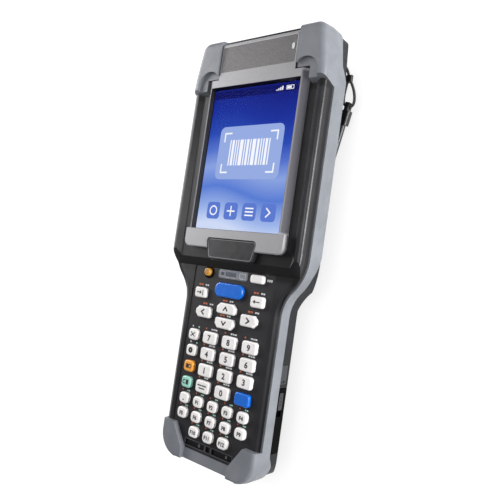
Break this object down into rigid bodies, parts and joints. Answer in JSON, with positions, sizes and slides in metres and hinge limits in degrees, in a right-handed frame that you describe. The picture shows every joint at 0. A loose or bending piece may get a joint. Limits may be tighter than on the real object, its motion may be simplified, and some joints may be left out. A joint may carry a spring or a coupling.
{
  "type": "portable barcode data terminal",
  "caption": "Rugged handheld data terminal with touch display, numeric and function keypad, corner bumpers, scanning head, battery, hand strap and tethered stylus.",
  "frame": {"origin": "on the surface that the terminal lies on, below the middle of its length and width", "axes": "+X to the right across the grip as seen from the screen side, +Y from the grip's end to the scanning head, +Z out of the screen"},
  "size_m": [0.083, 0.2139, 0.0406],
  "materials": {
    "front_cover": "satin near-black moulding",
    "bumper_ring": "matt grey elastomer",
    "display_bezel": "fine-textured silver grey",
    "touch_panel": "clear resistive panel",
    "display_module": "lit blue display",
    "name_plate": "blank dark plate",
    "status_window": "smoked clear window",
    "light_sensor_lens": "milky lens",
    "main_board": "green circuit board",
    "keypad_mat": "grey silicone mat",
    "rear_housing": "fine-textured dark grey moulding",
    "housing_screws": "black zinc",
    "scan_window": "dark red filter",
    "scan_engine": "black",
    "strap_pin": "drawn steel",
    "stylus_tether": "black elastic cord",
    "tether_crimp": "black sleeve",
    "battery_pack": "glossy black",
    "battery_latch": "dark grey",
    "jack_cover": "matt dark grey rubber",
    "hand_strap": "black webbing and pad",
    "stylus": "black",
    "key_white": "glossy off-white",
    "key_blue": "glossy blue",
    "key_orange": "glossy orange",
    "key_green": "glossy pale green",
    "key_power": "glossy amber"
  },
  "bodies": {
    "terminal": {"front_cover": "front_cover", "bumper_ring": "bumper_ring", "display_bezel": "display_bezel", "touch_panel": "touch_panel", "display_module": "display_module", "name_plate": "name_plate", "status_window": "status_window", "light_sensor_lens": "light_sensor_lens", "main_board": "main_board", "keypad_mat": "keypad_mat", "rear_housing": "rear_housing", "housing_screws": "housing_screws", "scan_window": "scan_window", "scan_engine": "scan_engine", "strap_pin": "strap_pin", "stylus_tether": "stylus_tether", "tether_crimp": "tether_crimp"},
    "key_power": {"key_power": "key_power"},
    "key_talk": {"key_talk": "key_white"},
    "key_tab": {"key_tab": "key_white"},
    "key_scan": {"key_scan": "key_blue"},
    "key_back": {"key_back": "key_white"},
    "key_up": {"key_up": "key_white"},
    "key_down": {"key_down": "key_white"},
    "key_left": {"key_left": "key_white"},
    "key_right": {"key_right": "key_white"},
    "key_escape": {"key_escape": "key_white"},
    "key_help": {"key_help": "key_white"},
    "key_orange": {"key_orange": "key_orange"},
    "key_green": {"key_green": "key_green"},
    "key_7": {"key_7": "key_white"},
    "key_8": {"key_8": "key_white"},
    "key_9": {"key_9": "key_white"},
    "key_4": {"key_4": "key_white"},
    "key_5": {"key_5": "key_white"},
    "key_6": {"key_6": "key_white"},
    "key_1": {"key_1": "key_white"},
    "key_2": {"key_2": "key_white"},
    "key_3": {"key_3": "key_white"},
    "key_field": {"key_field": "key_white"},
    "key_0": {"key_0": "key_white"},
    "key_enter": {"key_enter": "key_blue"},
    "key_point": {"key_point": "key_white"},
    "key_f1": {"key_f1": "key_white"},
    "key_f2": {"key_f2": "key_white"},
    "key_f3": {"key_f3": "key_white"},
    "key_f4": {"key_f4": "key_white"},
    "key_f5": {"key_f5": "key_white"},
    "key_f6": {"key_f6": "key_white"},
    "key_f7": {"key_f7": "key_white"},
    "key_f8": {"key_f8": "key_white"},
    "key_f9": {"key_f9": "key_white"},
    "key_f10": {"key_f10": "key_white"},
    "key_f11": {"key_f11": "key_white"},
    "key_f12": {"key_f12": "key_white"},
    "battery": {"battery_pack": "battery_pack"},
    "battery_latch": {"battery_latch": "battery_latch"},
    "jack_cover": {"jack_cover": "jack_cover"},
    "hand_strap": {"hand_strap": "hand_strap"},
    "stylus": {"stylus": "stylus"}
  },
  "joints": [
    {"name": "strap_swing", "type": "hinge", "parent": "terminal", "child": "hand_strap", "pos_m": [0, 0.009, 0.0032], "axis": [1, 0, 0], "range_deg": [0, 80]},
    {"name": "battery_lift", "type": "slide", "parent": "terminal", "child": "battery", "axis": [0, 0, -1], "range_m": [0, 0.025]},
    {"name": "latch_slide", "type": "slide", "parent": "battery", "child": "battery_latch", "axis": [0, -1, 0], "range_m": [0, 0.003], "stiffness_N_per_m": 500, "springref_m": -0.0005},
    {"name": "jack_cover_hinge", "type": "hinge", "parent": "terminal", "child": "jack_cover", "pos_m": [0.029, -0.0517, 0.0221], "axis": [0, 0, 1], "range_deg": [0, 95]},
    {"name": "stylus_draw", "type": "slide", "parent": "terminal", "child": "stylus", "axis": [0.2381, 0.9678, 0.0823], "range_m": [0, 0.055], "deforming": ["stylus_tether", "tether_crimp"]},
    {"name": "key_scan_press", "type": "slide", "parent": "terminal", "child": "key_scan", "axis": [0, 0, -1], "range_m": [0, 0.0008], "stiffness_N_per_m": 700, "springref_m": -0.0004},
    {"name": "key_5_press", "type": "slide", "parent": "terminal", "child": "key_5", "axis": [0, 0, -1], "range_m": [0, 0.0008], "stiffness_N_per_m": 700, "springref_m": -0.0004},
    {"name": "key_up_press", "type": "slide", "parent": "terminal", "child": "key_up", "axis": [0, 0, -1], "range_m": [0, 0.0008], "stiffness_N_per_m": 700, "springref_m": -0.0004},
    {"name": "key_power_press", "type": "slide", "parent": "terminal", "child": "key_power", "axis": [0, 0, -1], "range_m": [0, 0.0008], "stiffness_N_per_m": 700, "springref_m": -0.0004},
    {"name": "key_talk_press", "type": "slide", "parent": "terminal", "child": "key_talk", "axis": [0, 0, -1], "range_m": [0, 0.0008], "stiffness_N_per_m": 700, "springref_m": -0.0004},
    {"name": "key_tab_press", "type": "slide", "parent": "terminal", "child": "key_tab", "axis": [0, 0, -1], "range_m": [0, 0.0008], "stiffness_N_per_m": 700, "springref_m": -0.0004},
    {"name": "key_back_press", "type": "slide", "parent": "terminal", "child": "key_back", "axis": [0, 0, -1], "range_m": [0, 0.0008], "stiffness_N_per_m": 700, "springref_m": -0.0004},
    {"name": "key_down_press", "type": "slide", "parent": "terminal", "child": "key_down", "axis": [0, 0, -1], "range_m": [0, 0.0008], "stiffness_N_per_m": 700, "springref_m": -0.0004},
    {"name": "key_left_press", "type": "slide", "parent": "terminal", "child": "key_left", "axis": [0, 0, -1], "range_m": [0, 0.0008], "stiffness_N_per_m": 700, "springref_m": -0.0004},
    {"name": "key_right_press", "type": "slide", "parent": "terminal", "child": "key_right", "axis": [0, 0, -1], "range_m": [0, 0.0008], "stiffness_N_per_m": 700, "springref_m": -0.0004},
    {"name": "key_escape_press", "type": "slide", "parent": "terminal", "child": "key_escape", "axis": [0, 0, -1], "range_m": [0, 0.0008], "stiffness_N_per_m": 700, "springref_m": -0.0004},
    {"name": "key_help_press", "type": "slide", "parent": "terminal", "child": "key_help", "axis": [0, 0, -1], "range_m": [0, 0.0008], "stiffness_N_per_m": 700, "springref_m": -0.0004},
    {"name": "key_orange_press", "type": "slide", "parent": "terminal", "child": "key_orange", "axis": [0, 0, -1], "range_m": [0, 0.0008], "stiffness_N_per_m": 700, "springref_m": -0.0004},
    {"name": "key_green_press", "type": "slide", "parent": "terminal", "child": "key_green", "axis": [0, 0, -1], "range_m": [0, 0.0008], "stiffness_N_per_m": 700, "springref_m": -0.0004},
    {"name": "key_7_press", "type": "slide", "parent": "terminal", "child": "key_7", "axis": [0, 0, -1], "range_m": [0, 0.0008], "stiffness_N_per_m": 700, "springref_m": -0.0004},
    {"name": "key_8_press", "type": "slide", "parent": "terminal", "child": "key_8", "axis": [0, 0, -1], "range_m": [0, 0.0008], "stiffness_N_per_m": 700, "springref_m": -0.0004},
    {"name": "key_9_press", "type": "slide", "parent": "terminal", "child": "key_9", "axis": [0, 0, -1], "range_m": [0, 0.0008], "stiffness_N_per_m": 700, "springref_m": -0.0004},
    {"name": "key_4_press", "type": "slide", "parent": "terminal", "child": "key_4", "axis": [0, 0, -1], "range_m": [0, 0.0008], "stiffness_N_per_m": 700, "springref_m": -0.0004},
    {"name": "key_6_press", "type": "slide", "parent": "terminal", "child": "key_6", "axis": [0, 0, -1], "range_m": [0, 0.0008], "stiffness_N_per_m": 700, "springref_m": -0.0004},
    {"name": "key_1_press", "type": "slide", "parent": "terminal", "child": "key_1", "axis": [0, 0, -1], "range_m": [0, 0.0008], "stiffness_N_per_m": 700, "springref_m": -0.0004},
    {"name": "key_2_press", "type": "slide", "parent": "terminal", "child": "key_2", "axis": [0, 0, -1], "range_m": [0, 0.0008], "stiffness_N_per_m": 700, "springref_m": -0.0004},
    {"name": "key_3_press", "type": "slide", "parent": "terminal", "child": "key_3", "axis": [0, 0, -1], "range_m": [0, 0.0008], "stiffness_N_per_m": 700, "springref_m": -0.0004},
    {"name": "key_field_press", "type": "slide", "parent": "terminal", "child": "key_field", "axis": [0, 0, -1], "range_m": [0, 0.0008], "stiffness_N_per_m": 700, "springref_m": -0.0004},
    {"name": "key_0_press", "type": "slide", "parent": "terminal", "child": "key_0", "axis": [0, 0, -1], "range_m": [0, 0.0008], "stiffness_N_per_m": 700, "springref_m": -0.0004},
    {"name": "key_enter_press", "type": "slide", "parent": "terminal", "child": "key_enter", "axis": [0, 0, -1], "range_m": [0, 0.0008], "stiffness_N_per_m": 700, "springref_m": -0.0004},
    {"name": "key_point_press", "type": "slide", "parent": "terminal", "child": "key_point", "axis": [0, 0, -1], "range_m": [0, 0.0008], "stiffness_N_per_m": 700, "springref_m": -0.0004},
    {"name": "key_f1_press", "type": "slide", "parent": "terminal", "child": "key_f1", "axis": [0, 0, -1], "range_m": [0, 0.0008], "stiffness_N_per_m": 700, "springref_m": -0.0004},
    {"name": "key_f2_press", "type": "slide", "parent": "terminal", "child": "key_f2", "axis": [0, 0, -1], "range_m": [0, 0.0008], "stiffness_N_per_m": 700, "springref_m": -0.0004},
    {"name": "key_f3_press", "type": "slide", "parent": "terminal", "child": "key_f3", "axis": [0, 0, -1], "range_m": [0, 0.0008], "stiffness_N_per_m": 700, "springref_m": -0.0004},
    {"name": "key_f4_press", "type": "slide", "parent": "terminal", "child": "key_f4", "axis": [0, 0, -1], "range_m": [0, 0.0008], "stiffness_N_per_m": 700, "springref_m": -0.0004},
    {"name": "key_f5_press", "type": "slide", "parent": "terminal", "child": "key_f5", "axis": [0, 0, -1], "range_m": [0, 0.0008], "stiffness_N_per_m": 700, "springref_m": -0.0004},
    {"name": "key_f6_press", "type": "slide", "parent": "terminal", "child": "key_f6", "axis": [0, 0, -1], "range_m": [0, 0.0008], "stiffness_N_per_m": 700, "springref_m": -0.0004},
    {"name": "key_f7_press", "type": "slide", "parent": "terminal", "child": "key_f7", "axis": [0, 0, -1], "range_m": [0, 0.0008], "stiffness_N_per_m": 700, "springref_m": -0.0004},
    {"name": "key_f8_press", "type": "slide", "parent": "terminal", "child": "key_f8", "axis": [0, 0, -1], "range_m": [0, 0.0008], "stiffness_N_per_m": 700, "springref_m": -0.0004},
    {"name": "key_f9_press", "type": "slide", "parent": "terminal", "child": "key_f9", "axis": [0, 0, -1], "range_m": [0, 0.0008], "stiffness_N_per_m": 700, "springref_m": -0.0004},
    {"name": "key_f10_press", "type": "slide", "parent": "terminal", "child": "key_f10", "axis": [0, 0, -1], "range_m": [0, 0.0008], "stiffness_N_per_m": 700, "springref_m": -0.0004},
    {"name": "key_f11_press", "type": "slide", "parent": "terminal", "child": "key_f11", "axis": [0, 0, -1], "range_m": [0, 0.0008], "stiffness_N_per_m": 700, "springref_m": -0.0004},
    {"name": "key_f12_press", "type": "slide", "parent": "terminal", "child": "key_f12", "axis": [0, 0, -1], "range_m": [0, 0.0008], "stiffness_N_per_m": 700, "springref_m": -0.0004}
  ],
  "couplings": [
    {"joint": "strap_swing", "follows": "battery_lift", "rad_per_m": 55.5}
  ]
}
